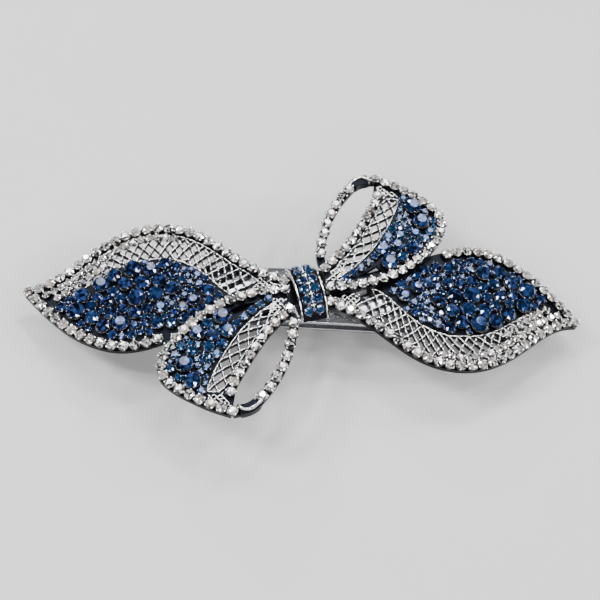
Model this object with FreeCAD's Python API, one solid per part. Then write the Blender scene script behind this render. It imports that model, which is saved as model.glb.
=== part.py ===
import FreeCAD, Part
import math
import os
import random

from FreeCAD import Rotation, Vector

# Rhinestone bow on an automatic-clasp barrette. Millimetres, +Z up, bow along X.
# The bow is the same when turned half a turn about Z, so each left piece is a turned right piece.

# Layers, as heights at the middle; every layer follows one arch about an axis along Y
ARCH_R = 235.0            # radius of the tails' top face
TAIL_TOP = 10.8           # height of the tails' top face at the middle
SHEET = 0.9               # thickness of the tail and loop castings
LOOP_LIFT = 0.3           # space between the tails and the loops above them
PLATE_T = 0.8
ARCH_Z = TAIL_TOP - ARCH_R
PLATE_R = ARCH_R - SHEET
LOOP_R = ARCH_R + LOOP_LIFT + SHEET

# Stones
CLEAR_D = 2.0
INNER_D = 1.5
BAND_D = 2.1
KNOT_D = 1.86
STONE_GAP = 0.06
RIM_OUT, RIM_IN = 0.8, 1.1    # sheet either side of a row of stones, outwards and inwards
WIRE_W = 0.34             # lattice wire
LARGE_BLUE = 2.6          # stones this wide or wider are in the large groups

# Clasp
PLATE_HALF = (39.0, 5.8, 4.2)     # half length, half width at the middle, half width at the ends
PIN_X, PIN_Z, PIN_R = -37.0, 1.8, 0.6
EAR_T, EAR_IN, EAR_R = 0.8, 3.5, 1.8
ARM_R, ARM_TOP, ARM_T, ARM_HALF_W = 1140.0, 2.8, 0.8, 3.0
ARM_PIN_GAP = 0.08
HEAD_X = (30.5, 41.0)
HEAD_HALF_W = 3.9
WINDOW_X = (32.2, 38.6)
WINDOW_HALF_W = 2.4
SPRING_R, SPRING_TOP, SPRING_T = 341.0, 8.3, 0.3
SPRING_HALF = (32.0, 2.5)
BRACKET_X, BRACKET_T = (32.6, 38.0), 0.5
TAB_X, TAB_T, TAB_Y, TAB_ROOT = (33.6, 36.9), 0.4, 1.7, 5.55
RIVET_X, RIVET_R = 35.3, 0.8

# Tail outline through the stone centres, tip last, seen from above
TAIL_LATTICE_SIDE = [(4.4, -1.9), (6.1, -2.75), (8.1, -3.55), (10.4, -4.6), (14.3, -7.1), (19.4, -10.8),
                     (23.7, -12.8), (28.0, -13.4), (32.3, -12.8), (38.1, -9.9), (43.3, -5.6), (48.4, -1.6), (52.4, -0.1)]
TAIL_BLUE_SIDE = [(5.4, 2.4), (12.0, 4.6), (19.0, 7.6), (25.0, 10.3), (29.7, 12.1), (34.2, 12.6),
                  (38.3, 11.6), (41.9, 9.8), (46.9, 5.8), (50.5, 2.1), (52.4, -0.1)]
TAIL_FIELD_EDGE = [(7.4, 1.3), (10.5, 2.2), (13.2, 1.8), (15.7, 0.1), (19.4, -3.4), (22.1, -5.3), (26.0, -6.7),
                   (30.2, -6.6), (34.1, -5.7), (37.6, -3.7), (40.7, -1.4), (44.0, 0.9), (46.8, 2.5)]
# Loop ribbon and band, knot end first
LOOP_OUTER = [(4.2, 0.6), (7.0, 0.9), (9.6, 1.5), (12.0, 2.4), (14.2, 3.3), (17.9, 5.6), (21.4, 8.7), (24.3, 12.4),
              (26.1, 16.4), (26.0, 18.8), (24.6, 20.8), (21.4, 23.0), (16.9, 25.2), (12.9, 26.5)]
LOOP_INNER = [(3.3, 4.7), (5.0, 6.8), (6.9, 9.2), (8.3, 11.4), (9.7, 13.9), (10.8, 16.1), (11.9, 18.4),
              (12.9, 20.6), (13.4, 22.6)]
LOOP_FIELD_EDGE = [(5.2, 2.7), (7.6, 4.4), (10.8, 7.8), (13.0, 10.8), (14.6, 13.8), (16.1, 17.0),
                   (17.2, 20.1), (17.9, 23.4)]
LOOP_CHAIN = [(7.3, 2.7), (9.4, 4.7), (11.3, 6.5), (12.9, 8.3)]      # small blue stones beside the gap
LOOP_GAP = [(9.2, 3.3), (13.2, 6.4), (14.4, 5.3), (12.4, 4.0)]
BAND = [(2.9, 5.6), (2.4, 7.6), (2.5, 9.8), (3.0, 12.5), (3.5, 14.8), (4.3, 17.1), (5.3, 19.4), (6.5, 21.5),
        (7.8, 23.4)]
FOLD = [(8.6, 24.5), (9.5, 25.4), (10.6, 25.95), (11.55, 26.2)]

# Knot
KNOT_R = 6.4
KNOT_TOP = 13.4
KNOT_T = 0.8
KNOT_W = 5.0
KNOT_TILT = 16.8
KNOT_STEP = 17.4


def line_of(points, count):
    """Evenly spaced points along a smooth curve through the given points."""
    curve = Part.BSplineCurve()
    curve.interpolate([Vector(x, y, 0) for x, y in points])
    return [(p.x, p.y) for p in curve.toShape().discretize(Number=count)]


def length_of(points):
    curve = Part.BSplineCurve()
    curve.interpolate([Vector(x, y, 0) for x, y in points])
    return curve.toShape().Length


def shifted(points, distance):
    """Points moved sideways, to the left of the direction of travel when positive."""
    moved = []
    for i, (x, y) in enumerate(points):
        x0, y0 = points[max(i - 1, 0)]
        x1, y1 = points[min(i + 1, len(points) - 1)]
        size = math.hypot(x1 - x0, y1 - y0)
        moved.append((x - (y1 - y0) / size * distance, y + (x1 - x0) / size * distance))
    return moved


def smooth_face(*runs):
    """A flat face whose outline passes through each run smoothly, with straight steps between runs."""
    edges = []
    for i, run in enumerate(runs):
        curve = Part.BSplineCurve()
        curve.interpolate([Vector(x, y, 0) for x, y in run])
        edges.append(curve.toShape())
        following = runs[(i + 1) % len(runs)][0]
        if math.hypot(run[-1][0] - following[0], run[-1][1] - following[1]) > 1e-4:
            edges.append(Part.makeLine(Vector(*run[-1], 0), Vector(*following, 0)))
    return Part.Face(Part.Wire(edges))


def polygon_face(points):
    corners = [Vector(x, y, 0) for x, y in points]
    return Part.Face(Part.makePolygon(corners + corners[:1]))


def cylinder_y(radius, x, z, y0, y1):
    return Part.makeCylinder(radius, y1 - y0, Vector(x, y0, z), Vector(0, 1, 0))


def arched(face, low_r, high_r, centre_z, bottom=-5.0):
    """A flat outline cut out of a sheet that is bent about an axis along Y."""
    block = face.copy()
    block.translate(Vector(0, 0, bottom))
    block = block.extrude(Vector(0, 0, 30))
    outside = cylinder_y(high_r, 0, centre_z, -45, 45)
    return block.common(outside).cut(cylinder_y(low_r, 0, centre_z, -46, 46))


def turned(shape):
    other = shape.copy()
    other.rotate(Vector(0, 0, 0), Vector(0, 0, 1), 180)
    return other


def inside(point, polygon):
    x, y = point
    hit = False
    for (x0, y0), (x1, y1) in zip(polygon, polygon[1:] + polygon[:1]):
        if (y0 > y) != (y1 > y) and x < (x1 - x0) * (y - y0) / (y1 - y0) + x0:
            hit = not hit
    return hit


def edge_distance(point, polygon):
    x, y = point
    nearest = 1e9
    for (x0, y0), (x1, y1) in zip(polygon, polygon[1:] + polygon[:1]):
        dx, dy = x1 - x0, y1 - y0
        t = ((x - x0) * dx + (y - y0) * dy) / (dx * dx + dy * dy)
        t = min(1.0, max(0.0, t))
        nearest = min(nearest, math.hypot(x - x0 - t * dx, y - y0 - t * dy))
    return nearest


def lattice_cells(side_a, side_b, along, across):
    """Diamond openings that fill the strip between two curves, with half diamonds along its edges.

    The rows run square across the strip: each place on the first curve is paired with the nearest on the other.
    """
    steps = 40 * along
    run_a, far = line_of(side_a, steps + 1), line_of(side_b, steps + 1)
    pairs, last = [], 0
    for i, (x, y) in enumerate(run_a):
        window = range(last, steps + 1)
        last = min(window, key=lambda j: math.hypot(far[j][0] - x, far[j][1] - y))
        pairs.append(last)
    spread = [0.6 * p + 0.4 * i for i, p in enumerate(pairs)]
    run_b = [far[round(s)] for s in spread]

    def spot(u, v):
        i = min(steps, max(0, round(u / along * steps)))
        (xa, ya), (xb, yb) = run_a[i], run_b[i]
        return xa + (xb - xa) * v / across, ya + (yb - ya) * v / across

    cells = []
    for row in range(round(2 * across) + 1):
        v = row / 2
        for column in range(along):
            u = column + (0.5 if row % 2 else 1.0)
            corners = [(u - 0.5, v), (u, v - 0.5), (u + 0.5, v), (u, v + 0.5)]
            corners = [(a, b) for a, b in corners if 0 <= b <= across and a <= along]
            if len(corners) > 2:
                cells.append([spot(a, b) for a, b in corners])
    return cells


def inset_cell(cell, width):
    """The opening that is left between wires of the given width, or None if they meet."""
    cx = sum(x for x, _ in cell) / len(cell)
    cy = sum(y for _, y in cell) / len(cell)
    room = edge_distance((cx, cy), cell)
    scale = 1 - width / 2 / room
    if scale < 0.25:
        return None
    return [(cx + (x - cx) * scale, cy + (y - cy) * scale) for x, y in cell]


def with_openings(sheet, openings):
    cutters = []
    for opening in openings:
        face = polygon_face(opening)
        face.translate(Vector(0, 0, -4))
        cutters.append(face.extrude(Vector(0, 0, 28)))
    return sheet.cut(Part.makeCompound(cutters))


def stone(diameter):
    """An eight-sided flat-backed stone: straight girdle, sloping crown, flat table."""
    radius = diameter / 2 / math.cos(math.pi / 8) * 0.98
    rings = []
    for ring_r, z in ((radius, 0.0), (radius, 0.4 * diameter), (0.58 * radius, 0.66 * diameter)):
        corners = []
        for k in range(9):
            turn = math.pi / 4 * k + math.pi / 8
            corners.append(Vector(ring_r * math.cos(turn), ring_r * math.sin(turn), z))
        rings.append(Part.makePolygon(corners))
    return Part.makeLoft(rings, True, True)


def set_stones(spots, radius):
    """Stones standing on an arched face. Each spot is x, y and diameter."""
    solids = []
    for x, y, diameter in spots:
        lean = math.degrees(math.asin(x / radius))
        solid = stone(diameter)
        solid.Placement = FreeCAD.Placement(
            Vector(x, y, ARCH_Z + math.sqrt(radius * radius - x * x)), Rotation(Vector(0, 1, 0), lean))
        solids.append(solid)
    return Part.makeCompound(solids)


def row_of_stones(points, diameter):
    count = int(length_of(points) / (diameter + 0.07)) + 1
    return [(x, y, diameter) for x, y in line_of(points, count)]


def free_of(spots, others, gap=STONE_GAP):
    kept = []
    for x, y, d in spots:
        if all(math.hypot(x - a, y - b) >= (d + e) / 2 + gap for a, b, e in others + kept):
            kept.append((x, y, d))
    return kept


def pack_stones(polygon, sizes, seed, first=(), cover=()):
    """Mixed stones set close together inside an outline and clear of a cover, the larger ones mostly inside.

    Stones in first are already there.
    """
    picker = random.Random(seed)
    xs, ys = [p[0] for p in polygon], [p[1] for p in polygon]
    middle = (sum(xs) / len(xs), sum(ys) / len(ys))
    step = 0.2
    grid = []
    for i in range(int((max(xs) - min(xs)) / step) + 1):
        for j in range(int((max(ys) - min(ys)) / step) + 1):
            spot = (min(xs) + i * step, min(ys) + j * step)
            if not inside(spot, polygon) or (cover and inside(spot, cover)):
                continue
            border = min([edge_distance(spot, outline) for outline in (polygon, cover) if outline])
            grid.append((spot[0], spot[1], border))
    ordered = sorted(sizes, key=lambda d: -d + picker.uniform(-1.5, 1.5))
    placed = list(first)
    for diameter in ordered:
        r = diameter / 2
        best = None
        for x, y, border in grid:
            if border < r + 0.02:
                continue
            slacks = [border - r]
            for a, b, e in placed:
                slack = math.hypot(x - a, y - b) - e / 2 - r - STONE_GAP
                if slack < 0:
                    break
                slacks.append(slack)
            else:
                slacks.sort()
                score = 0.07 * math.hypot(x - middle[0], y - middle[1])
                if len(placed) > 2:
                    score += sum(slacks[:3])
                if best is None or score < best[0]:
                    best = (score, x, y)
        if best:
            placed.append((best[1], best[2], diameter))
    return placed


def make_tail():
    inner_lattice = shifted(line_of(TAIL_LATTICE_SIDE, 30), RIM_IN)
    outline = smooth_face(
        shifted(line_of(TAIL_LATTICE_SIDE, 30), -RIM_OUT),
        list(reversed(shifted(line_of(TAIL_BLUE_SIDE, 30), RIM_OUT))))
    tip = Part.Face(Part.Wire(Part.makeCircle(RIM_OUT, Vector(*TAIL_LATTICE_SIDE[-1], 0))))
    tongue = polygon_face([(0.05, -2.4), (4.6, -2.7), (6.2, 2.8), (0.05, 2.2)])
    sheet = arched(outline, PLATE_R, ARCH_R, ARCH_Z)
    for extra in (tip, tongue):
        sheet = sheet.fuse(arched(extra, PLATE_R, ARCH_R, ARCH_Z))
    sheet = sheet.removeSplitter()
    strip_a = inner_lattice[3:27]
    cells = lattice_cells(strip_a, TAIL_FIELD_EDGE, 20, 2)
    cells = [inset_cell(cell, WIRE_W) for cell in cells]
    return with_openings(sheet, [cell for cell in cells if cell])


def make_loop():
    outer = line_of(LOOP_OUTER, 36)
    inner = line_of(LOOP_INNER, 24)
    outline = smooth_face(shifted(outer, -RIM_OUT), list(reversed(shifted(inner, RIM_OUT))))
    sheet = arched(outline, ARCH_R + LOOP_LIFT, LOOP_R, ARCH_Z)
    strip_a = shifted(inner, -RIM_IN)[1:]
    cells = lattice_cells(strip_a, LOOP_FIELD_EDGE, 7, 1.5)
    cells = [inset_cell(cell, WIRE_W) for cell in cells]
    return with_openings(sheet, [cell for cell in cells if cell] + [LOOP_GAP])


def make_band(loop):
    path = line_of(BAND + FOLD + LOOP_OUTER[-1:], 34)
    strip = smooth_face(shifted(path, -RIM_OUT), list(reversed(shifted(path, RIM_OUT))))
    sheet = arched(strip, ARCH_R + LOOP_LIFT, LOOP_R, ARCH_Z)
    bend = line_of(FOLD, 14)
    roll = smooth_face(shifted(bend, -1.0), list(reversed(shifted(bend, 1.0))))
    sheet = sheet.fuse(arched(roll, ARCH_R + LOOP_LIFT, LOOP_R + 0.7, ARCH_Z)).removeSplitter()
    ribbon = smooth_face(
        shifted(line_of(LOOP_OUTER, 36), -RIM_OUT),
        list(reversed(shifted(line_of(LOOP_INNER, 24), RIM_OUT))))
    return sheet.cut(arched(ribbon, ARCH_R - 5, LOOP_R + 5, ARCH_Z))


def make_knot():
    centre_z = KNOT_TOP - KNOT_R
    half = KNOT_W / 2
    shell = Part.makeCylinder(KNOT_R, KNOT_W, Vector(-half, 0, centre_z), Vector(1, 0, 0))
    shell = shell.cut(Part.makeCylinder(KNOT_R - KNOT_T, KNOT_W, Vector(-half, 0, centre_z), Vector(1, 0, 0)))
    shell.rotate(Vector(0, 0, 0), Vector(0, 0, 1), KNOT_TILT)
    return shell.cut(cylinder_y(PLATE_R, 0, ARCH_Z, -20, 20))


def make_knot_stones():
    centre_z = KNOT_TOP - KNOT_R
    solids = []
    for column in (-1.05, 1.05):
        for row in range(6):
            lean = (row - 2.5) * KNOT_STEP
            solid = stone(KNOT_D)
            reach = KNOT_R * math.sin(math.radians(lean))
            rise = KNOT_R * math.cos(math.radians(lean))
            solid.Placement = FreeCAD.Placement(
                Vector(column, reach, centre_z + rise), Rotation(Vector(1, 0, 0), -lean))
            solid.rotate(Vector(0, 0, 0), Vector(0, 0, 1), KNOT_TILT)
            solids.append(solid)
    return Part.makeCompound(solids)


def make_plate():
    length, middle, end = PLATE_HALF
    outline = smooth_face(
        [(-length, -end), (0, -middle), (length, -end)], [(length, end), (0, middle), (-length, end)])
    plate = arched(outline, PLATE_R - PLATE_T, PLATE_R, ARCH_Z)
    for side in (-1, 1):
        y0, y1 = sorted((side * EAR_IN, side * (EAR_IN + EAR_T)))
        ear = Part.makeBox(2 * EAR_R, y1 - y0, 6.0, Vector(PIN_X - EAR_R, y0, PIN_Z))
        ear = ear.fuse(cylinder_y(EAR_R, PIN_X, PIN_Z, y0, y1))
        ear = ear.common(cylinder_y(PLATE_R, 0, ARCH_Z, -10, 10))
        plate = plate.fuse(ear)
    plate = plate.cut(cylinder_y(PIN_R, PIN_X, PIN_Z, -6, 6))
    return plate.cut(Part.makeCylinder(RIVET_R, 12, Vector(RIVET_X, 0, 0))).removeSplitter()


def make_pin():
    reach = EAR_IN + EAR_T + 0.3
    pin = cylinder_y(PIN_R, PIN_X, PIN_Z, -reach, reach)
    for side in (-1, 1):
        y0, y1 = sorted((side * (EAR_IN + EAR_T), side * reach))
        pin = pin.fuse(cylinder_y(PIN_R + 0.35, PIN_X, PIN_Z, y0, y1))
    return pin.removeSplitter()


def make_arm():
    centre_z = ARM_TOP - ARM_R
    strip = polygon_face([(PIN_X, -ARM_HALF_W), (HEAD_X[0], -ARM_HALF_W), (HEAD_X[0], ARM_HALF_W),
                          (PIN_X, ARM_HALF_W)])
    head = polygon_face([(HEAD_X[0] - 1.5, -ARM_HALF_W), (HEAD_X[0], -HEAD_HALF_W), (HEAD_X[1], -HEAD_HALF_W),
                         (HEAD_X[1], HEAD_HALF_W), (HEAD_X[0], HEAD_HALF_W), (HEAD_X[0] - 1.5, ARM_HALF_W)])
    window = polygon_face([(WINDOW_X[0], -WINDOW_HALF_W), (WINDOW_X[1], -WINDOW_HALF_W),
                           (WINDOW_X[1], WINDOW_HALF_W), (WINDOW_X[0], WINDOW_HALF_W)])
    arm = arched(strip, ARM_R - ARM_T, ARM_R, centre_z)
    arm = arm.fuse(arched(head, ARM_R - ARM_T, ARM_R, centre_z))
    lip = Part.makeBox(ARM_T, 2 * HEAD_HALF_W, 1.9, Vector(HEAD_X[1] - ARM_T, -HEAD_HALF_W, 0))
    eye = cylinder_y(PIN_R + ARM_PIN_GAP + 0.7, PIN_X, PIN_Z, -ARM_HALF_W, ARM_HALF_W)
    arm = arm.fuse(lip).fuse(eye)
    arm = arm.cut(arched(window, ARM_R - 5, ARM_R + 5, centre_z))
    return arm.cut(cylinder_y(PIN_R + ARM_PIN_GAP, PIN_X, PIN_Z, -6, 6)).removeSplitter()


def make_spring():
    length, width = SPRING_HALF
    outline = smooth_face(
        [(-length, -width * 0.7), (0, -width), (length, -width * 0.7)],
        [(length, width * 0.7), (0, width), (-length, width * 0.7)])
    return arched(outline, SPRING_R - SPRING_T, SPRING_R, SPRING_TOP - SPRING_R)


def make_bracket():
    outline = polygon_face([(BRACKET_X[0], -2.3), (BRACKET_X[1], -2.3), (BRACKET_X[1], 2.3), (BRACKET_X[0], 2.3)])
    bracket = arched(outline, PLATE_R - PLATE_T - BRACKET_T, PLATE_R - PLATE_T, ARCH_Z)
    return bracket.cut(Part.makeCylinder(RIVET_R, 12, Vector(RIVET_X, 0, 0)))


def make_rivet():
    shaft = Part.makeCylinder(RIVET_R, 8, Vector(RIVET_X, 0, 5.0))
    shaft = shaft.common(cylinder_y(PLATE_R, 0, ARCH_Z, -20, 20))
    head_r = PLATE_R - PLATE_T - BRACKET_T
    head = arched(Part.Face(Part.Wire(Part.makeCircle(1.4, Vector(RIVET_X, 0, 0)))), head_r - 0.35, head_r, ARCH_Z)
    return shaft.fuse(head).cut(cylinder_y(head_r - 0.35, 0, ARCH_Z, -20, 20)).removeSplitter()


def make_tab(side):
    """One sprung wing of the catch, with the barb that holds the arm."""
    profile = [(TAB_Y, 0.35), (TAB_Y + TAB_T, 0.35), (TAB_Y + TAB_T + 0.65, 1.32), (TAB_Y + TAB_T, 1.32),
               (TAB_Y + TAB_T, TAB_ROOT), (TAB_Y, TAB_ROOT)]
    corners = [Vector(TAB_X[0], side * y, z) for y, z in profile]
    wall = Part.Face(Part.makePolygon(corners + corners[:1]))
    return wall.extrude(Vector(TAB_X[1] - TAB_X[0], 0, 0))


def make_pad():
    outline = polygon_face([(3.6, -0.2), (6.0, 0.2), (6.0, 2.2), (3.6, 2.2)])
    return arched(outline, ARCH_R, ARCH_R + LOOP_LIFT, ARCH_Z)


def stone_plan():
    """Places and widths of every stone on the right half of the bow."""
    loop_cover = shifted(line_of(LOOP_OUTER, 40), -RIM_OUT - 0.2)
    loop_cover += list(reversed(shifted(line_of(LOOP_INNER, 24), RIM_OUT + 0.2)))

    def uncovered(spots):
        clear = []
        for x, y, d in spots:
            near = inside((x, y), loop_cover) or edge_distance((x, y), loop_cover) < d / 2
            if not near:
                clear.append((x, y, d))
        return clear

    tail_rim = row_of_stones(TAIL_LATTICE_SIDE, CLEAR_D)
    tail_rim = free_of(tail_rim + row_of_stones(list(reversed(TAIL_BLUE_SIDE)), CLEAR_D), [])
    tail_rim = uncovered(tail_rim)
    field = line_of(TAIL_FIELD_EDGE[3:], 30)
    field += list(reversed(shifted(line_of(TAIL_BLUE_SIDE, 40), -RIM_IN)[7:36]))
    sizes = [3.6] * 3 + [3.2] * 5 + [2.9] * 7 + [2.5] * 9 + [2.2] * 10 + [1.9] * 10 + [1.6] * 16 + [1.3] * 30
    tail_blue = uncovered(pack_stones(field, sizes, 7, cover=loop_cover))
    second = shifted(line_of(TAIL_LATTICE_SIDE, 40), RIM_IN + 0.8)[17:38]
    third = shifted(line_of(TAIL_LATTICE_SIDE, 40), RIM_IN + 2.5)[29:37]
    tail_inner = free_of(row_of_stones(second, INNER_D) + row_of_stones(third, INNER_D), tail_rim + tail_blue)

    loop_rim = row_of_stones(LOOP_OUTER, CLEAR_D)
    loop_rim = free_of(loop_rim + row_of_stones(LOOP_INNER, CLEAR_D - 0.1), [])
    field = line_of(LOOP_FIELD_EDGE, 26)
    field += list(reversed(shifted(line_of(LOOP_OUTER, 40), RIM_IN - 0.25)[5:36]))
    sizes = [3.3] * 3 + [2.9] * 3 + [2.6] * 4 + [2.2] * 6 + [1.9] * 7 + [1.6] * 10 + [1.3] * 14 + [1.1] * 26
    chain = row_of_stones(LOOP_CHAIN, 1.6)
    loop_blue = pack_stones(field, sizes, 14, chain + loop_rim, LOOP_GAP)
    loop_blue = free_of([s for s in loop_blue if s not in loop_rim], loop_rim)
    loop_blue = [s for s in loop_blue if edge_distance(s[:2], LOOP_GAP) > s[2] / 2 - 0.1]
    band = free_of(row_of_stones(BAND, BAND_D), loop_rim)
    return {
        "tail_rim_stones": (ARCH_R, tail_rim),
        "tail_inner_stones": (ARCH_R, tail_inner),
        "tail_large_blue_stones": (ARCH_R, [s for s in tail_blue if s[2] >= LARGE_BLUE]),
        "tail_small_blue_stones": (ARCH_R, [s for s in tail_blue if s[2] < LARGE_BLUE]),
        "loop_rim_stones": (LOOP_R, loop_rim),
        "loop_large_blue_stones": (LOOP_R, [s for s in loop_blue if s[2] >= LARGE_BLUE]),
        "loop_small_blue_stones": (LOOP_R, [s for s in loop_blue if s[2] < LARGE_BLUE]),
        "loop_band_stones": (LOOP_R, band),
    }


def main():
    os.makedirs("parts", exist_ok=True)
    shapes = {
        "base_plate": make_plate(),
        "hinge_pin": make_pin(),
        "clasp_arm": make_arm(),
        "tension_spring": make_spring(),
        "latch_bracket": make_bracket(),
        "latch_rivet": make_rivet(),
        "latch_tab_front": make_tab(-1),
        "latch_tab_rear": make_tab(1),
        "knot_band": make_knot(),
        "knot_stones": make_knot_stones(),
    }
    halves = {"tail_frame": make_tail(), "loop_frame": make_loop(), "loop_solder_pad": make_pad()}
    halves["loop_band"] = make_band(halves["loop_frame"])
    for name, (radius, spots) in stone_plan().items():
        halves[name] = set_stones(spots, radius)
        print(name, len(spots))
    for name, shape in halves.items():
        shapes["right_" + name] = shape
        shapes["left_" + name] = turned(shape)
    for name, shape in shapes.items():
        box = shape.BoundBox
        print(name, shape.ShapeType, len(shape.Solids), shape.isValid(), round(shape.Volume, 2),
              [round(v, 2) for v in (box.XMin, box.YMin, box.ZMin, box.XMax, box.YMax, box.ZMax)])
        shape.exportStep("parts/" + name + ".step")


main()
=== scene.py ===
import logging
import math
import random
from dataclasses import dataclass, field
from enum import Enum
from typing import Any, Iterable, Sequence

import bmesh
import bpy
import numpy as np
from mathutils import Matrix, Vector


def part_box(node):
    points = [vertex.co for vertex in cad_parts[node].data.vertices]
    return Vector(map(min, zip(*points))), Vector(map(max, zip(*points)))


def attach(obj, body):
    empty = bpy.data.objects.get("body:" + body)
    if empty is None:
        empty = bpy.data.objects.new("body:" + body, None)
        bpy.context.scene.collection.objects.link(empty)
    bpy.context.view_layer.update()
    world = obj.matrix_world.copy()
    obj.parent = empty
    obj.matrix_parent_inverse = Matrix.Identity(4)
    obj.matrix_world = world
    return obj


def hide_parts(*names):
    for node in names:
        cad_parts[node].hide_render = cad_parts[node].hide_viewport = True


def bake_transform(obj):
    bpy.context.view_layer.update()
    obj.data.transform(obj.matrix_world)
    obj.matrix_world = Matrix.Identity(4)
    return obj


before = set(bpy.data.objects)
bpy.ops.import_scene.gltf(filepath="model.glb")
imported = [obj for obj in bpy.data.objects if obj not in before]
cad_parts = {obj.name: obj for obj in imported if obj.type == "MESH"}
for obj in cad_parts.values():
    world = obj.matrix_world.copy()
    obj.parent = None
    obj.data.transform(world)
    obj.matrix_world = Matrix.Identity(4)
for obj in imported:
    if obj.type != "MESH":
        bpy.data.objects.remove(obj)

LOG = logging.getLogger("hair_clip")
MM = 0.001
ARCH_RADIUS = 235.0 * MM      # of the tails' upper face
LOOP_RADIUS = 236.2 * MM      # of the loops' upper face
STONE_SIDES = 8               # of a stone in the CAD
STONE_FIT = 0.98              # how much of its seat a stone fills

Number = float | int
Colour = tuple[float, float, float]
Outline = tuple[tuple[float, float], ...]


# ---------------------------------------------------------------- shader helpers


class Sock:
    """One output socket of a shader graph, with arithmetic that adds Math nodes."""

    def __init__(self, graph: "Graph", socket: Any) -> None:
        """Wrap a socket of the given graph."""
        self.graph = graph
        self.socket = socket

    def _math(self, operation: str, first: "Sock | Number", second: "Sock | Number") -> "Sock":
        """Add one Math node.

        Args:
            operation: The node's operation.
            first: Left value.
            second: Right value.

        Returns:
            The node's result.
        """
        return self.graph.node("ShaderNodeMath", {"operation": operation}, {0: first, 1: second})

    def __add__(self, other: "Sock | Number") -> "Sock":
        """self + other."""
        return self._math("ADD", self, other)

    def __radd__(self, other: Number) -> "Sock":
        """other + self."""
        return self._math("ADD", other, self)

    def __sub__(self, other: "Sock | Number") -> "Sock":
        """self - other."""
        return self._math("SUBTRACT", self, other)

    def __rsub__(self, other: Number) -> "Sock":
        """other - self."""
        return self._math("SUBTRACT", other, self)

    def __mul__(self, other: "Sock | Number") -> "Sock":
        """self * other."""
        return self._math("MULTIPLY", self, other)

    def __rmul__(self, other: Number) -> "Sock":
        """other * self."""
        return self._math("MULTIPLY", other, self)

    def clamped(self) -> "Sock":
        """The value held between 0 and 1."""
        return self.graph.node("ShaderNodeClamp", {}, {"Value": self, "Min": 0.0, "Max": 1.0})


class Graph:
    """The node graph of one material."""

    def __init__(self, name: str) -> None:
        """Start an empty material.

        Args:
            name: The material's name.
        """
        self.material = bpy.data.materials.new(name)
        self.material.use_nodes = True
        self.nodes = self.material.node_tree.nodes
        self.links = self.material.node_tree.links
        self.nodes.clear()

    def node(self, kind: str, settings: dict[str, Any], inputs: dict[Any, Any], output: Any = 0) -> Sock:
        """Add a node.

        Args:
            kind: Blender's type name of the node.
            settings: Properties, set before the sockets. "stops" fills a colour ramp.
            inputs: Values or links of the sockets, by name or number.
            output: Which output to hand back.

        Returns:
            The chosen output.
        """
        made = self.nodes.new(kind)
        for key, value in settings.items():
            if key == "stops":
                ramp = made.color_ramp
                while len(ramp.elements) < len(value):
                    ramp.elements.new(0.5)
                for element, (place, colour) in zip(ramp.elements, value):
                    element.position = place
                    element.color = (*colour, 1.0)
            else:
                setattr(made, key, value)
        for key, value in inputs.items():
            if isinstance(value, Sock):
                self.links.new(value.socket, made.inputs[key])
            else:
                made.inputs[key].default_value = value
        return Sock(self, made.outputs[output])

    def face_value(self, name: str) -> Sock:
        """The named number that each face of the mesh carries."""
        return self.node("ShaderNodeAttribute", {"attribute_name": name}, {}, "Fac")

    def place(self) -> Sock:
        """Position on the object, in metres."""
        return self.node("ShaderNodeTexCoord", {}, {}, "Object")

    def noise(self, size: float, detail: float = 3.0) -> Sock:
        """Soft random variation.

        Args:
            size: Width of its patches, in metres.
            detail: How much finer detail it carries.

        Returns:
            A value around one half.
        """
        inputs = {"Vector": self.place(), "Scale": 1.0 / size, "Detail": detail}
        return self.node("ShaderNodeTexNoise", {}, inputs)

    def mix(self, factor: Sock | Number, low: Colour | Sock, high: Colour | Sock) -> Sock:
        """Blend two colours.

        Args:
            factor: 0 for the first, 1 for the second.
            low: First colour.
            high: Second colour.

        Returns:
            The blended colour.
        """
        ends = [c if isinstance(c, Sock) else (*c, 1.0) for c in (low, high)]
        return self.node("ShaderNodeMix", {"data_type": "RGBA"}, {0: factor, 6: ends[0], 7: ends[1]}, 2)

    def surface(self, **inputs: Any) -> bpy.types.Material:
        """Finish the material with a Principled shader.

        Args:
            **inputs: Socket values, with spaces in their names written as underscores.

        Returns:
            The finished material.
        """
        named = {key.replace("_", " "): value for key, value in inputs.items()}
        shader = self.node("ShaderNodeBsdfPrincipled", {}, named)
        target = self.nodes.new("ShaderNodeOutputMaterial")
        self.links.new(shader.socket, target.inputs["Surface"])
        return self.material


# ---------------------------------------------------------------- finishes


@dataclass(frozen=True)
class Metal:
    """A plated or bare metal, with painted light on what faces up and painted shade down its sides."""

    name: str
    bright: Colour
    shade: Colour
    roughness: float
    mottling: float = 0.1
    grain: float = 0.35 * MM
    bump: float = 0.0

    def material(self) -> bpy.types.Material:
        """Build the material.

        Returns:
            The finished material.
        """
        graph = Graph(self.name)
        normal = graph.node("ShaderNodeTexCoord", {}, {}, "Normal")
        up = graph.node("ShaderNodeSeparateXYZ", {}, {0: normal}, 2)
        patches = graph.noise(self.grain, 4.0)
        # Painted light and shade: the upward share of each face's normal picks between the bright and the shade
        # colour; the noise adds random mottling on top.
        lit = (up * 0.9 + 0.35 + (patches - 0.5) * 0.5).clamped()
        colour = graph.mix(lit, self.shade, self.bright)
        rough = (self.roughness + (patches - 0.5) * self.mottling).clamped()
        extra: dict[str, Any] = {}
        if self.bump:
            relief = {"Strength": self.bump, "Distance": 0.05 * MM, "Height": graph.noise(self.grain)}
            extra["Normal"] = graph.node("ShaderNodeBump", {}, relief)
        return graph.surface(Base_Color=colour, Metallic=1.0, Roughness=rough, **extra)


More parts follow.
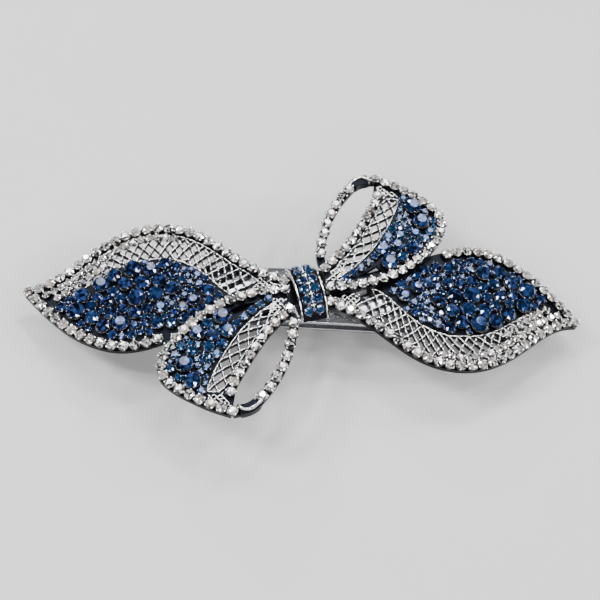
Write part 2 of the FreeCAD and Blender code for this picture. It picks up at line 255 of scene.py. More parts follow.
@dataclass(frozen=True)
class CutGlass:
    """Foil-backed cut glass: each facet has its own painted brightness, standing in for the glints and dark
    reflections of cut glass, and each stone its own tint.
    """

    name: str
    dark: Colour
    middle: Colour
    bright: Colour
    tint: Colour
    metallic: float
    coat_ior: float
    steps: tuple[float, float] = (0.0, 0.45)

    def material(self) -> bpy.types.Material:
        """Build the material.

        Returns:
            The finished material.
        """
        graph = Graph(self.name)
        # Each face's number is a painted glint: near 1 a painted highlight, near 0 a painted dark reflection.
        facet = graph.face_value("facet")
        stops = [(self.steps[0], self.dark), (self.steps[1], self.middle), (1.0, self.bright)]
        ramp = graph.node("ShaderNodeValToRGB", {"stops": stops}, {0: facet})
        tinted = graph.mix(graph.face_value("tone"), ramp, self.tint)
        # Painted dark reflections: noise patches pull the glass towards its dark colour.
        painted_dark_reflections = ((graph.noise(0.6 * MM, 2.0) - 0.45) * 3.0).clamped()
        colour = graph.mix(painted_dark_reflections * 0.75, tinted, self.dark)
        return graph.surface(
            Base_Color=colour, Metallic=self.metallic, Roughness=0.05, IOR=1.55,
            Coat_Weight=1.0, Coat_Roughness=0.02, Coat_IOR=self.coat_ior)


@dataclass(frozen=True)
class Paper:
    """The plain pale sweep that the clip is shown on."""

    name: str = "pale_sweep"
    tone: float = 0.47

    def material(self) -> bpy.types.Material:
        """Build the material.

        Returns:
            The finished material.
        """
        graph = Graph(self.name)
        tint = (self.tone, self.tone, self.tone * 1.01)
        colour = graph.mix(graph.noise(9 * MM), tint, tuple(0.97 * c for c in tint))
        return graph.surface(Base_Color=colour, Roughness=0.55)


class Finish(Enum):
    """Every finish on the clip, with the record slot that it belongs to."""

    # Metals: each first colour is painted light on faces turned up, and each second colour is painted shade on
    # their sides.
    WIRE = ("plated_metal", Metal("bright_plating", (0.90, 0.89, 0.88), (0.30, 0.30, 0.31), 0.16))
    # Cups: near-black plating, painted shade in the gaps round the stones.
    CUP = ("plated_metal", Metal("plating_painted_dark_round_stones", (0.09, 0.09, 0.09), (0.01, 0.01, 0.011), 0.25))
    # Prongs among the blue stones: plating painted dark and bluish, painted shade with a painted blue
    # reflection of the stones round them.
    PRONG = ("plated_metal", Metal("plating_painted_blue_shade", (0.20, 0.22, 0.27), (0.02, 0.02, 0.03), 0.2))
    # Casting: near-black plating, painted shade under and between the stones and wires.
    CASTING = ("plated_metal", Metal(
        "plating_painted_as_shade", (0.009, 0.010, 0.013), (0.003, 0.003, 0.004), 0.42, 0.2, bump=0.3))
    CLASP = ("clasp_steel", Metal(
        "polished_plate", (0.86, 0.86, 0.87), (0.34, 0.34, 0.35), 0.16, 0.06, 1.2 * MM))
    SPRING = ("spring_steel", Metal(
        "rolled_spring_steel", (0.50, 0.50, 0.52), (0.30, 0.30, 0.32), 0.24, 0.12))
    SOLDER = ("solder", Metal("dull_solder", (0.42, 0.42, 0.43), (0.2, 0.2, 0.2), 0.45, 0.2, bump=0.6))
    # Glass: the dark, middle and bright colours are the painted dark reflections, mid tones and painted glints
    # of the facets; the tint is each stone's own colour.
    CRYSTAL = ("clear_crystal", CutGlass(
        "cut_crystal", (0.002, 0.002, 0.003), (0.24, 0.235, 0.23), (1.0, 0.985, 0.97), (0.80, 0.70, 0.63),
        0.6, 1.9, (0.20, 0.46)))
    DEEP_BLUE = ("deep_blue_glass", CutGlass(
        "dark_sapphire", (0.0002, 0.0005, 0.003), (0.0015, 0.006, 0.034), (0.034, 0.080, 0.27),
        (0.003, 0.035, 0.11), 0.6, 1.5))
    BRIGHT_BLUE = ("bright_blue_glass", CutGlass(
        "bright_sapphire", (0.0004, 0.0015, 0.006), (0.003, 0.016, 0.070), (0.045, 0.12, 0.32),
        (0.008, 0.075, 0.16), 0.6, 1.5))

    @property
    def slot(self) -> str:
        """The record's material slot."""
        return self.value[0]

    def material(self) -> bpy.types.Material:
        """The finish's material, built once."""
        recipe = self.value[1]
        return bpy.data.materials.get(recipe.name) or recipe.material()


# ---------------------------------------------------------------- mesh helpers


@dataclass
class Solid:
    """A growing mesh made of closed shells."""

    points: list[Vector] = field(default_factory=list)
    faces: list[tuple[int, ...]] = field(default_factory=list)
    values: list[float] = field(default_factory=list)
    tones: list[float] = field(default_factory=list)

    def add(self, points: Sequence[Vector], faces: Iterable[Sequence[int]], values: Sequence[float] = (),
            tone: float = 0.0) -> None:
        """Add one shell.

        Args:
            points: Its corners.
            faces: Its faces, as indices into points.
            values: A number for each face, or nothing.
            tone: How far the shell's colour leans to its glass's tint.
        """
        start = len(self.points)
        self.points.extend(points)
        faces = [tuple(start + i for i in face) for face in faces]
        self.faces.extend(faces)
        self.values.extend(values if values else [0.0] * len(faces))
        self.tones.extend([tone] * len(faces))

    def rings(self, rings: Sequence[Sequence[Vector]], closed: bool = False) -> None:
        """Add a tube through rings of points.

        Args:
            rings: Loops of equally many points.
            closed: Whether the last ring joins the first. If not, both ends are capped.
        """
        around = len(rings[0])
        points = [p for ring in rings for p in ring]
        faces = []
        for i in range(len(rings) if closed else len(rings) - 1):
            j = (i + 1) % len(rings)
            for k in range(around):
                m = (k + 1) % around
                faces.append((i * around + k, i * around + m, j * around + m, j * around + k))
        if not closed:
            faces.append(tuple(reversed(range(around))))
            faces.append(tuple(range((len(rings) - 1) * around, len(rings) * around)))
        self.add(points, faces)

    def lathe(self, profile: Sequence[tuple[float, float]], place: Matrix, around: int) -> None:
        """Add a closed profile turned about the local Z axis.

        Args:
            profile: Radius and height of each corner, as a closed loop that stays off the axis.
            place: Where it goes.
            around: Steps round the circle.
        """
        rings = []
        for k in range(around):
            turn = 2 * math.pi * k / around
            rings.append([place @ Vector((r * math.cos(turn), r * math.sin(turn), z)) for r, z in profile])
        self.rings(rings, closed=True)

    def bead(self, centre: Vector, radius: float, around: int = 8, up: Vector | None = None) -> None:
        """Add a small ball.

        Args:
            centre: Its middle.
            radius: Its radius.
            around: Steps round it.
            up: Direction of its pole.
        """
        frame_of = facing(centre, up or Vector((0, 0, 1)))
        levels = max(3, around // 2)
        points = [frame_of @ Vector((0, 0, -radius))]
        for i in range(1, levels):
            polar = math.pi * i / levels
            for k in range(around):
                turn = 2 * math.pi * k / around
                points.append(frame_of @ Vector((
                    radius * math.sin(polar) * math.cos(turn), radius * math.sin(polar) * math.sin(turn),
                    -radius * math.cos(polar))))
        points.append(frame_of @ Vector((0, 0, radius)))
        faces: list[tuple[int, ...]] = []
        for k in range(around):
            m = (k + 1) % around
            faces.append((0, 1 + m, 1 + k))
            for i in range(levels - 2):
                a, b = 1 + i * around, 1 + (i + 1) * around
                faces.append((a + k, a + m, b + m, b + k))
            last = 1 + (levels - 2) * around
            faces.append((last + k, last + m, len(points) - 1))
        self.add(points, faces)

    def wire(self, path: Sequence[Vector], radius: float, around: int = 8, closed: bool = False,
             flat: float = 1.0, ups: Sequence[Vector] | None = None) -> None:
        """Add a round or flattened wire.

        Args:
            path: Points along its middle.
            radius: Half its width.
            around: Steps round it.
            closed: Whether it joins its own start.
            flat: Its height as a share of its width.
            ups: The direction that is up at each point.
        """
        rings = []
        count = len(path)
        for i, spot in enumerate(path):
            before = path[(i - 1) % count] if closed or i else path[0]
            after = path[(i + 1) % count] if closed or i < count - 1 else path[-1]
            run = (after - before).normalized()
            up = ups[i] if ups else Vector((0, 0, 1))
            side = run.cross(up).normalized()
            up = side.cross(run).normalized()
            ring = []
            for k in range(around):
                turn = 2 * math.pi * k / around
                ring.append(spot + side * radius * math.cos(turn) + up * radius * flat * math.sin(turn))
            rings.append(ring)
        self.rings(rings, closed)

    def mesh(self, name: str, finish: Finish, smooth: bool) -> bpy.types.Mesh:
        """Make the mesh.

        Args:
            name: The mesh's name.
            finish: What it is finished in.
            smooth: Whether it is shaded smooth.

        Returns:
            The mesh.
        """
        mesh = bpy.data.meshes.new(name)
        mesh.from_pydata([tuple(p) for p in self.points], [], self.faces)
        for label, numbers in (("facet", self.values), ("tone", self.tones)):
            layer = mesh.attributes.new(label, "FLOAT", "FACE")
            layer.data.foreach_set("value", np.array(numbers, np.float32))
        mesh.polygons.foreach_set("use_smooth", [smooth] * len(mesh.polygons))
        mesh.validate()
        mesh.update()
        fix_normals(mesh)
        mesh.materials.append(finish.material())
        LOG.info("%s: %d faces", name, len(mesh.polygons))
        return mesh

    def build(self, name: str, finish: Finish, body: str, smooth: bool, replaces: Sequence[str] = ()) -> None:
        """Make the piece.

        Args:
            name: The piece's name.
            finish: What it is finished in.
            body: The body that it moves with.
            smooth: Whether it is shaded smooth.
            replaces: CAD nodes that it stands for.
        """
        piece = bpy.data.objects.new(name, self.mesh(name, finish, smooth))
        bpy.context.scene.collection.objects.link(piece)
        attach(piece, body)
        if replaces:
            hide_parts(*replaces)


def fix_normals(mesh: bpy.types.Mesh) -> None:
    """Turn every closed shell of a mesh inside in."""
    work = bmesh.new()
    work.from_mesh(mesh)
    bmesh.ops.recalc_face_normals(work, faces=work.faces)
    work.to_mesh(mesh)
    work.free()


def facing(centre: Vector, up: Vector, spin: float = 0.0) -> Matrix:
    """A placement whose Z axis points along a direction.

    Args:
        centre: The origin.
        up: The Z direction.
        spin: Turn about it, in radians.

    Returns:
        The placement.
    """
    turn = up.normalized().to_track_quat("Z", "Y").to_matrix().to_4x4()
    return Matrix.Translation(centre) @ turn @ Matrix.Rotation(spin, 4, "Z")


# ---------------------------------------------------------------- reading the frame


@dataclass(frozen=True)
class Seat:
    """Where one stone sits: middle of its flat back, direction of its table and radius."""

    centre: Vector
    up: Vector
    radius: float


def welded(node: str) -> tuple[np.ndarray, list[tuple[int, ...]]]:
    """A CAD node's points and faces, with points at one place joined.

    Args:
        node: The node's name.

    Returns:
        Points in metres and the faces' indices.
    """
    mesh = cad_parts[node].data
    points = np.array([v.co for v in mesh.vertices], float).reshape(-1, 3)
    keys: dict[tuple[int, ...], int] = {}
    index = [keys.setdefault(tuple(np.round(p / (0.002 * MM)).astype(int)), len(keys)) for p in points]
    joined = np.zeros((len(keys), 3))
    for i, j in enumerate(index):
        joined[j] = points[i]
    faces = [tuple(index[i] for i in polygon.vertices) for polygon in mesh.polygons]
    return joined, [f for f in faces if len(set(f)) > 2]


def seats(node: str) -> list[Seat]:
    """The seat of every stone in a CAD node.

    Args:
        node: The node's name.

    Returns:
        One seat for each stone, in the mesh's order.
    """
    points, faces = welded(node)
    root = list(range(len(points)))

    def top(i: int) -> int:
        """The label of a point's shell."""
        while root[i] != i:
            root[i] = root[root[i]]
            i = root[i]
        return i

    for face in faces:
        for i in face[1:]:
            root[top(i)] = top(face[0])
    shells: dict[int, list[tuple[int, ...]]] = {}
    for face in faces:
        shells.setdefault(top(face[0]), []).append(face)
    found = []
    for group in shells.values():
        sides: dict[tuple[int, ...], tuple[float, np.ndarray]] = {}
        for face in group:
            a, b, c = (points[i] for i in face[:3])
            cross = np.cross(b - a, c - a)
            area = float(np.linalg.norm(cross))
            if area < 1e-14:
                continue
            key = tuple(np.round(cross / area * 8).astype(int))
            size, total = sides.get(key, (0.0, np.zeros(3)))
            sides[key] = (size + area, total + cross)
        total = max(sides.values(), key=lambda s: s[0])[1]
        up = -total / np.linalg.norm(total)
        corners = points[sorted({i for face in group for i in face})]
        heights = corners @ up
        back = corners[heights < heights.min() + 0.02 * MM]
        centre = back.mean(0)
        corner = float(np.linalg.norm(back - centre, axis=1).max())
        radius = corner * math.cos(math.pi / STONE_SIDES) / STONE_FIT
        found.append(Seat(Vector(centre), Vector(up), radius))
    return found


def openings(node: str, up_from: float) -> list[list[Vector]]:
    """The upper outlines of the holes through a bent sheet.

    Args:
        node: The node's name.
        up_from: Height of the arch's axis.

    Returns:
        The corners of each hole, and of the sheet's own edge as the longest one.
    """
    points, faces = welded(node)
    count: dict[tuple[int, int], int] = {}
    for face in faces:
        a, b, c = (points[i] for i in face[:3])
        cross = np.cross(b - a, c - a)
        out = np.array([a[0], 0.0, a[2] - up_from])
        facing_out = float(cross @ out) / (np.linalg.norm(cross) * np.linalg.norm(out) + 1e-20)
        if facing_out > 0.9:
            for i, j in zip(face, face[1:] + face[:1]):
                count[(i, j)] = count.get((i, j), 0) + 1
    follow = {i: j for (i, j) in count if (j, i) not in count}
    loops = []
    while follow:
        start = next(iter(follow))
        loop = [start]
        spot = follow.pop(start)
        while spot != start and spot in follow:
            loop.append(spot)
            spot = follow.pop(spot)
        loops.append([Vector(points[i]) for i in loop])
    return loops


# ---------------------------------------------------------------- the bow


class Cut(Enum):
    """How a group's stones are cut: girdle height, star radius and height, table radius and height."""

    CHATON = (0.50, 0.80, 0.80, 0.52, 0.95)
    FLAT_TOP = (0.42, 0.82, 0.68, 0.58, 0.84)


@dataclass
class StoneGroup:
    """The stones of one CAD node, with the cups and prongs that hold them."""

    node: str
    finish: Finish
    cut: Cut
    seed: int
    prongs: int = 4
    prong_size: float = 0.24
    cup: bool = True
    tilt: float = 4.0
    # Range of the painted glint on each stone's table facet.
    tables: tuple[float, float] = (0.5, 1.0)
    tones: float = 0.5

    def facets(self, picker: random.Random) -> tuple[list[Vector], list[tuple[int, ...]], list[float]]:
        """One stone of radius 1, standing on its back.

        Args:
            picker: Source of the facets' painted brightness, which stands in for glints and dark reflections.

        Returns:
            Points, faces and each face's painted brightness.
        """
        girdle_z, star_r, star_z, table_r, table_z = self.cut.value
        levels = [(0.9, 0.0, 16, 0.0), (1.0, girdle_z, 16, 0.0),
                  (star_r, star_z, 8, 0.5), (table_r, table_z, 8, 0.0)]
        points = []
        for radius, z, count, shift in levels:
            for k in range(count):
                turn = 2 * math.pi * (k + shift) / count
                points.append(Vector((radius * math.cos(turn), radius * math.sin(turn), z)))
        points.append(Vector((0, 0, table_z)))
        faces: list[tuple[int, ...]] = [tuple(reversed(range(16)))]
        values = [0.1]
        for k in range(16):
            faces.append((k, (k + 1) % 16, 16 + (k + 1) % 16, 16 + k))
            values.append(picker.uniform(0.0, 0.3))
        for k in range(8):
            m = (k + 1) % 8
            girdle, middle, last = 16 + 2 * k, 16 + 2 * k + 1, 16 + (2 * k + 2) % 16
            star, before = 32 + k, 32 + (k - 1) % 8
            faces += [(girdle, middle, star), (middle, last, star), (girdle, star, 40 + k, before),
                      (star, 40 + m, 40 + k)]
            values += [picker.betavariate(0.4, 0.4) for _ in range(4)]
            faces.append((40 + k, 40 + m, 48))
            low, high = self.tables
            values.append(low + (high - low) * picker.betavariate(0.4, 0.4))
        return points, faces, values

    def build(self) -> None:
        """Build the stones and their settings."""
        picker = random.Random(self.seed)
        stones, cups, prongs = Solid(), Solid(), Solid()
        for seat in seats(self.node):
            radius = seat.radius * STONE_FIT
            lean = Vector((picker.gauss(0, 1), picker.gauss(0, 1), 0)) * math.radians(self.tilt)
            up = (seat.up + lean).normalized()
            spin = picker.uniform(0, math.pi)
            lift = 0.32 * radius
            place = facing(seat.centre + seat.up * lift, up, spin)
            points, faces, values = self.facets(picker)
            tone = picker.random() ** 2 * self.tones
            stones.add([place @ (p * radius) for p in points], faces, values, tone)
            self.hold(cups, prongs, seat, radius, lift, spin)
        stones.build(self.node + "_cut", self.finish, "bow", False, [self.node])
        cups.build(self.node + "_cups", Finish.CUP, "bow", True)
        prongs.build(self.node + "_prongs", Finish.WIRE if self.cup else Finish.PRONG, "bow", True)

    def hold(self, cups: Solid, prongs: Solid, seat: Seat, radius: float, lift: float, spin: float) -> None:
        """Add one stone's cup and prongs.

        Args:
            cups: Where the cup goes.
            prongs: Where the prongs go.
            seat: The stone's seat.
            radius: The stone's radius.
            lift: Height of its back over the metal.
            spin: Turn of the stone.
        """
        place = facing(seat.centre, seat.up, spin)
        rim = lift + self.cut.value[0] * radius
        wall = 0.06 * MM if self.cup else 0.03 * MM
        top = rim * (0.95 if self.cup else 0.7)
        cups.lathe([(radius * 0.7, -0.1 * MM), (radius * 0.86, -0.1 * MM), (radius + wall, top * 0.75),
                    (radius + wall, top), (radius * 0.97, top), (radius * 0.7, rim * 0.3)], place, 16)
        size = self.prong_size * radius if self.cup else 0.17 * MM
        for k in range(self.prongs):
            turn = 2 * math.pi * (k + 0.5) / self.prongs
            foot = Vector((math.cos(turn), math.sin(turn), 0)) * (radius * 0.99)
            spot = place @ (foot + Vector((0, 0, rim + size * 0.3)))
            prongs.bead(spot, size, 6, seat.up)


@dataclass
class CastSheet:
    """An openwork casting: the CAD sheet in near-black plating, painted shade under and between its wires and
    stones, with bright beaded wires along its lattice.
    """

    node: str
    axis_height: float
    wire_width: float = 0.34 * MM
    wire_radius: float = 0.11 * MM
    bead_radius: float = 0.15 * MM
    bead_pitch: float = 0.42 * MM
    snap: float = 0.6 * MM
    longest_side: float = 3.2 * MM
    relief_radius: float = ARCH_RADIUS
    relief: tuple[Outline, ...] = ()
    turn: float = 1.0

    def nominal(self, hole: list[Vector]) -> list[Vector] | None:
        """The lattice cell that a hole belongs to, measured to the middles of its wires.

        Args:
            hole: The hole's corners.

        Returns:
            The cell's corners, or None for a hole that is not a lattice cell.
        """
        corners = simplified(hole)
        longest = max((a - b).length for a, b in zip(corners, corners[1:] + corners[:1]))
        if len(corners) not in (3, 4) or longest > self.longest_side:
            return None
        centre = sum(corners, Vector()) / len(corners)
        room = min(segment_distance(centre, a, b) for a, b in zip(corners, corners[1:] + corners[:1]))
        grow = (room + self.wire_width / 2) / room
        return [centre + (p - centre) * grow for p in corners]

    def strands(self, cells: Sequence[Sequence[Vector]]) -> list[tuple[Vector, Vector]]:
        """The lattice's wires, each once, between crossings shared by the cells round them.

        Args:
            cells: The corners of every cell.

        Returns:
            Both ends of each wire.
        """
        groups: list[list[Vector]] = []
        labels = []
        for cell in cells:
            found = []
            for corner in cell:
                near = [(sum(g, Vector()) / len(g) - corner).length for g in groups]
                best = min(range(len(groups)), key=near.__getitem__) if groups else -1
                if best < 0 or near[best] > self.snap:
                    best = len(groups)
                    groups.append([])
                groups[best].append(corner)
                found.append(best)
            labels.append(found)
        crossings = [sum(group, Vector()) / len(group) for group in groups]
        pairs = {tuple(sorted(pair)) for found in labels for pair in zip(found, found[1:] + found[:1])}
        return [(crossings[i], crossings[j]) for i, j in sorted(pairs) if i != j]

    def strand(self, wires: Solid, a: Vector, b: Vector) -> None:
        """Add one beaded wire of the lattice.

        Args:
            wires: Where it goes.
            a: One crossing.
            b: The next crossing.
        """
        middle = (a + b) / 2
        up = Vector((middle.x, 0, middle.z - self.axis_height)).normalized()
        reach = (b - a).normalized() * 0.12 * MM
        lift = up * 0.04 * MM
        wires.wire([a - reach + lift, middle + lift, b + reach + lift], self.wire_radius, 6, ups=[up] * 3)
        count = max(2, round((b - a).length / self.bead_pitch))
        for i in range(count):
            wires.bead(a.lerp(b, (i + 0.5) / count) + lift, self.bead_radius, 6, up)

    def engrave(self, wires: Solid, outline: Outline) -> None:
        """Carry the lattice on as a raised pattern over a part of the sheet without holes.

        Args:
            wires: Where it goes.
            outline: Corners of that part seen from above, in millimetres.
        """
        pitch, reach = 1.15, 40
        for i in range(-reach, reach):
            for j in range(-reach, reach):
                start = (pitch * (i - j) / 2 + 0.3, pitch * (i + j) / 2)
                for side in (-1, 1):
                    end = (start[0] + side * pitch / 2, start[1] + pitch / 2)
                    if within(start, outline) and within(end, outline):
                        self.strand(wires, self.on_sheet(start), self.on_sheet(end))

    def on_sheet(self, spot: tuple[float, float]) -> Vector:
        """The place on the sheet's upper face over a point of the plan, given in millimetres."""
        x, y = spot[0] * self.turn * MM, spot[1] * self.turn * MM
        return Vector((x, y, self.axis_height + math.sqrt(self.relief_radius ** 2 - x * x)))

    def build(self) -> None:
        """Dress the casting and add its wires."""
        dress(self.node, Finish.CASTING)
        loops = sorted(openings(self.node, self.axis_height), key=len)
        cells = [cell for cell in (self.nominal(loop) for loop in loops[:-1]) if cell]
        wires = Solid()
        for a, b in self.strands(cells):
            self.strand(wires, a, b)
        for outline in self.relief:
            self.engrave(wires, outline)
        if wires.points:
            wires.build(self.node + "_wires", Finish.WIRE, "bow", True)


def simplified(loop: list[Vector]) -> list[Vector]:
    """Drop a loop's points that lie on a straight run.

    Args:
        loop: Closed loop of points.

    Returns:
        Its true corners.
    """
    kept = []
    for i, spot in enumerate(loop):
        before, after = loop[i - 1], loop[(i + 1) % len(loop)]
        if (spot - before).angle(after - spot, 0.0) > math.radians(12):
            kept.append(spot)
    return kept


def within(spot: tuple[float, float], outline: Outline) -> bool:
    """Whether a point of the plan lies inside an outline."""
    hit = False
    for (x0, y0), (x1, y1) in zip(outline, (*outline[1:], outline[0])):
        if (y0 > spot[1]) != (y1 > spot[1]) and spot[0] < (x1 - x0) * (spot[1] - y0) / (y1 - y0) + x0:
            hit = not hit
    return hit


def segment_distance(spot: Vector, a: Vector, b: Vector) -> float:
    """Distance from a point to a segment."""
    along = max(0.0, min(1.0, (spot - a).dot(b - a) / (b - a).length_squared))
    return (spot - a - (b - a) * along).length


def dress(node: str, finish: Finish, bevel: float = 0.0) -> None:
    """Give a CAD node its finish, and soften its edges.

    Args:
        node: The node's name.
        finish: Its finish.
        bevel: Width of the softened edge, in metres.
    """
    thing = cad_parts[node]
    thing.data.materials.clear()
    thing.data.materials.append(finish.material())
    if bevel:
        weld = thing.modifiers.new("weld", "WELD")
        weld.merge_threshold = 0.001 * MM
        edge = thing.modifiers.new("edge", "BEVEL")
        edge.width = bevel
        edge.segments = 2
        edge.limit_method = "ANGLE"
        edge.angle_limit = math.radians(35)
    LOG.info("%s dressed in %s", node, finish.name.lower())


@dataclass
class Knot:
    """The stone-set band over the middle of the bow, with rails at its sides and stars between its stones."""

    radius: float = 6.4 * MM
    top: float = 13.4 * MM
    width: float = 5.0 * MM
    tilt: float = math.radians(16.8)
    step: float = math.radians(17.4)
    rail: float = 0.2 * MM
    rail_reach: float = math.radians(62)
    star_height: float = 0.75 * MM
    star_arms: tuple[float, float] = (0.75 * MM, 0.13 * MM)

    def spot(self, across: float, angle: float, height: float) -> tuple[Vector, Vector]:
        """A place over the band.

        Args:
            across: Distance from its middle line.
            angle: Turn round it from its top.
            height: Height over its face.

        Returns:
            The place, and the direction that is up there.
        """
        turn = Matrix.Rotation(self.tilt, 4, "Z")
        out = Vector((0, math.sin(angle), math.cos(angle)))
        place = Vector((across, 0, self.top - self.radius)) + out * (self.radius + height)
        return turn @ place, turn.to_3x3() @ out

    def build(self) -> None:
        """Dress the band, add its rails and stars, and set its stones."""
        dress("knot_band", Finish.CASTING)
        trim = Solid()
        for side in (-1, 1):
            edge = side * (self.width / 2 - 0.05 * MM)
            marks = [self.spot(edge, self.rail_reach * (i / 16 - 1), 0.15 * MM) for i in range(33)]
            trim.wire([m[0] for m in marks], self.rail, 10, flat=2.4, ups=[m[1] for m in marks])
        for row in range(-2, 3):
            angle = row * self.step
            centre, up = self.spot(0.0, angle, self.star_height)
            foot = self.star_height - 0.25 * MM
            for across, turn in ((self.star_arms[0], 0.0), (0.0, 0.6 * self.step)):
                ends = [self.spot(sign * across, angle + sign * turn, foot) for sign in (-1, 1)]
                path = [ends[0][0], centre, ends[1][0]]
                trim.wire(path, self.star_arms[1], 6, ups=[ends[0][1], up, ends[1][1]])
            trim.bead(centre, 0.27 * MM, 8, up)
        trim.build("knot_rails", Finish.WIRE, "bow", True)
        looks = {"tables": (0.0, 0.8), "cup": False, "tilt": 2.0}
        StoneGroup("knot_stones", Finish.BRIGHT_BLUE, Cut.FLAT_TOP, 5, **looks).build()


@dataclass
class Half:
    """One side of the bow: a tail, and the loop above it."""

    side: str
    axis_height: float
    seed: int
    tail_root: Outline = ((2.9, -2.2), (5.5, -2.0), (9.6, -3.6), (10.4, 1.0), (8.0, 0.6), (5.0, -0.5),
                          (2.9, -0.6))
    loop_neck: Outline = ((3.5, 1.7), (6.4, 2.0), (7.4, 4.4), (5.9, 6.0), (4.0, 4.0))
    loop_end: Outline = ((13.4, 24.2), (14.6, 22.4), (17.6, 23.0), (17.4, 23.9), (13.4, 25.6))
    fold_run: Outline = ((7.8, 23.7), (8.1, 24.5), (8.55, 25.15), (9.2, 25.8), (10.0, 26.2), (10.7, 26.28),
                         (11.4, 26.05), (12.1, 25.5))
    fold_lift: float = 0.7 * MM
    fold_wire: float = 0.3 * MM

    @property
    def turn(self) -> float:
        """1 for the right side; -1 for the left, which is the right one turned half round."""
        return 1.0 if self.side == "right" else -1.0

    def build(self) -> None:
        """Build every piece of this side."""
        CastSheet(f"{self.side}_tail_frame", self.axis_height, relief=(self.tail_root,), turn=self.turn).build()
        CastSheet(f"{self.side}_loop_frame", self.axis_height, relief_radius=LOOP_RADIUS,
                  relief=(self.loop_neck, self.loop_end), turn=self.turn).build()
        dress(f"{self.side}_loop_band", Finish.CASTING, 0.15 * MM)
        dress(f"{self.side}_loop_solder_pad", Finish.SOLDER)
        self.fold()
        clear = {"finish": Finish.CRYSTAL, "cut": Cut.CHATON, "tables": (0.15, 1.0), "tones": 0.6}
        deep = {"finish": Finish.DEEP_BLUE, "cut": Cut.FLAT_TOP, "tables": (0.0, 1.0), "cup": False}
        bright = {"finish": Finish.BRIGHT_BLUE, "cut": Cut.FLAT_TOP, "tables": (0.0, 0.9), "cup": False}
        groups = {"tail_rim": clear, "tail_inner": clear, "loop_rim": clear, "loop_band": clear,
                  "tail_large_blue": deep, "tail_small_blue": deep,
                  "loop_large_blue": deep, "loop_small_blue": bright}
        for i, (name, looks) in enumerate(groups.items()):
            StoneGroup(f"{self.side}_{name}_stones", seed=self.seed + i, **looks).build()

    def fold(self) -> None:
        """Add the polished rounded ribbon where the band folds over into the loop."""
        path, ups = [], []
        for x, y in self.fold_run:
            out = Vector((x * MM, 0, LOOP_RADIUS)).normalized()
            path.append(Vector((0, y * MM, self.axis_height)) + out * (LOOP_RADIUS + self.fold_lift))
            ups.append(out)
        spin = Matrix.Diagonal((self.turn, self.turn, 1.0))
        ribbon = Solid()
        ribbon.wire([spin @ p for p in path], self.fold_wire, 10, flat=2.4, ups=[spin @ u for u in ups])
        ribbon.build(f"{self.side}_loop_fold", Finish.CLASP, "bow", True)


# ---------------------------------------------------------------- the clasp


@dataclass
class Clasp:
    """The sprung barrette under the bow."""

    edge: float = 0.1 * MM
    strip_half: tuple[float, float] = (32.0 * MM, 2.5 * MM)
    strip_curve: float = 341.0 * MM
    strip_top: float = 8.3 * MM
    strip_thickness: float = 0.3 * MM

    def build(self) -> None:
        """Dress every part of the clasp."""
        dress("base_plate", Finish.CLASP, self.edge * 2)
        for node in ("clasp_arm", "hinge_pin", "latch_rivet"):
            dress(node, Finish.CLASP, self.edge)
        for node in ("latch_bracket", "latch_tab_front", "latch_tab_rear"):
            dress(node, Finish.SPRING, self.edge * 0.5)
        self.half_strip("left", -1)
        self.half_strip("right", 1)

    def half_strip(self, name: str, side: int) -> None:
        """Build one half of the bowed strip, from its middle to its end.

        Args:
            name: Which half.
            side: -1 for the left half, 1 for the right one.
        """
        length, width = self.strip_half
        strip = Solid()
        rings = []
        for i in range(25):
            x = length * i / 24
            half = width * (1 - 0.3 * (i / 24) ** 2)
            z = self.strip_top - self.strip_curve + math.sqrt(self.strip_curve ** 2 - x * x)
            low, inset = self.strip_thickness, 0.06 * MM
            section = ((-half + inset, 0), (half - inset, 0), (half, -inset), (half, inset - low),
                       (half - inset, -low), (inset - half, -low), (-half, inset - low), (-half, -inset))
            rings.append([Vector((side * x, y, z + rise)) for y, rise in section])
        strip.rings(rings)
        mesh = strip.mesh("tension_strip_" + name, Finish.SPRING, False)
        piece = bpy.data.objects.new(mesh.name, mesh)
        bpy.context.scene.collection.objects.link(piece)
        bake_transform(piece)
        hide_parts("tension_spring")


# ---------------------------------------------------------------- the studio


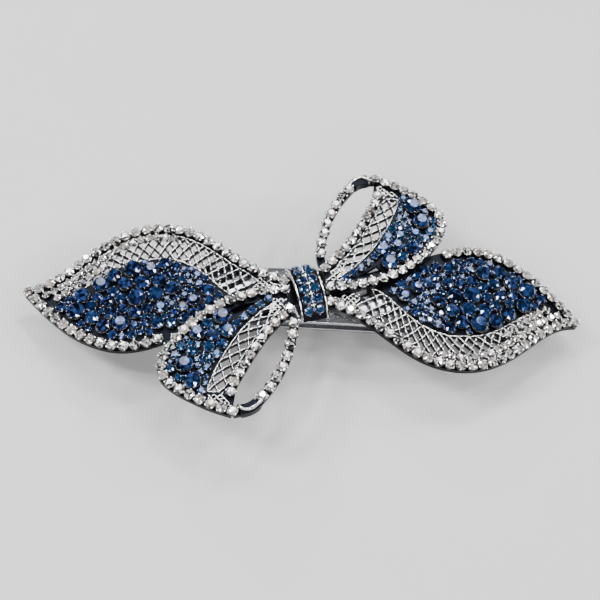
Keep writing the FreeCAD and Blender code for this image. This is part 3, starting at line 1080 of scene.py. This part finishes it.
@dataclass
class Studio:
    """Floor, lights and camera."""

    azimuth: float = math.radians(-6.3)
    elevation: float = math.radians(58.0)
    roll: float = math.radians(8.5)
    distance: float = 272 * MM
    lens: float = 85.2
    tip_height: float = 5.6 * MM
    aim: tuple[float, float] = (-0.88 * MM, 1.32 * MM)
    sparkles: int = 14
    floor_reach: float = 3.0
    room: Colour = (0.055, 0.058, 0.065)

    def camera(self) -> None:
        """Place the camera."""
        a, e = self.azimuth, self.elevation
        back = Vector((math.sin(a) * math.cos(e), -math.cos(a) * math.cos(e), math.sin(e)))
        right = Vector((math.cos(a), math.sin(a), 0))
        up = back.cross(right)
        turned_right = math.cos(self.roll) * right + math.sin(self.roll) * up
        turned_up = math.cos(self.roll) * up - math.sin(self.roll) * right
        place = Vector((0, 0, self.tip_height)) + back * self.distance
        place += turned_right * self.aim[0] + turned_up * self.aim[1]
        data = bpy.data.cameras.new("camera")
        data.lens = self.lens
        data.clip_start = 0.01
        camera = bpy.data.objects.new("camera", data)
        camera.matrix_world = Matrix.Translation(place) @ Matrix(
            (turned_right, turned_up, back)).transposed().to_4x4()
        bpy.context.scene.collection.objects.link(camera)
        bpy.context.scene.camera = camera

    def light(self, name: str, direction: tuple[float, float, float], distance: float,
              size: tuple[float, float], power: float, colour: Colour = (1, 1, 1)) -> None:
        """Add one soft light aimed at the clip.

        Args:
            name: Its name.
            direction: Where it stands, seen from the clip.
            distance: How far off, in metres.
            size: Width and height, in metres.
            power: Its power in watts.
            colour: Its tint.
        """
        data = bpy.data.lights.new(name, "AREA")
        data.shape = "RECTANGLE"
        data.size, data.size_y = size
        data.energy = power
        data.color = colour
        lamp = bpy.data.objects.new(name, data)
        spot = Vector(direction).normalized() * distance
        lamp.matrix_world = facing(spot, spot)
        bpy.context.scene.collection.objects.link(lamp)

    def build(self) -> None:
        """Build the floor, the lights and the camera."""
        self.camera()
        reach = self.floor_reach
        corners = [(x, y, z) for z in (-0.01, 0.0) for x, y in
                   ((-reach, -reach), (reach, -reach), (reach, reach), (-reach, reach))]
        faces = [(0, 3, 2, 1), (4, 5, 6, 7), (0, 1, 5, 4), (1, 2, 6, 5), (2, 3, 7, 6), (3, 0, 4, 7)]
        mesh = bpy.data.meshes.new("floor")
        mesh.from_pydata(corners, [], faces)
        mesh.materials.append(Paper().material())
        ground = bpy.data.objects.new("floor", mesh)
        bpy.context.scene.collection.objects.link(ground)
        self.light("table_light", (0.06, 0.53, 0.85), 0.7, (0.5, 0.2), 2.2, (0.90, 0.93, 1.0))
        self.light("key_light", (-0.75, 0.1, 0.75), 0.8, (0.2, 0.2), 5.5)
        self.light("side_light", (0.9, -0.1, 0.55), 0.9, (0.1, 0.3), 4.5, (1.0, 0.97, 0.94))
        self.light("front_light", (-0.1, -0.8, 0.45), 0.9, (0.5, 0.1), 2.5)
        for i in range(self.sparkles):
            turn = 2 * math.pi * (i + 0.3) / self.sparkles
            lean = math.radians(28 + 34 * ((i * 5) % 7) / 6)
            spot = (math.cos(turn) * math.sin(lean), math.sin(turn) * math.sin(lean), math.cos(lean))
            self.light(f"sparkle_{i + 1}", spot, 0.7, (0.06, 0.06), 1.0)
        world = bpy.data.worlds.new("studio")
        world.use_nodes = True
        world.node_tree.nodes["Background"].inputs["Color"].default_value = (*self.room, 1.0)
        bpy.context.scene.world = world


def main() -> None:
    """Build the clip and the studio round it."""
    logging.basicConfig(level=logging.INFO, format="%(message)s")
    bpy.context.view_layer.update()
    arch_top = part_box("right_tail_frame")[1].z
    axis_height = arch_top - ARCH_RADIUS
    Studio().build()
    Clasp().build()
    Half("right", axis_height, 20).build()
    Half("left", axis_height, 60).build()
    Knot().build()


if __name__ == "__main__":
    main()
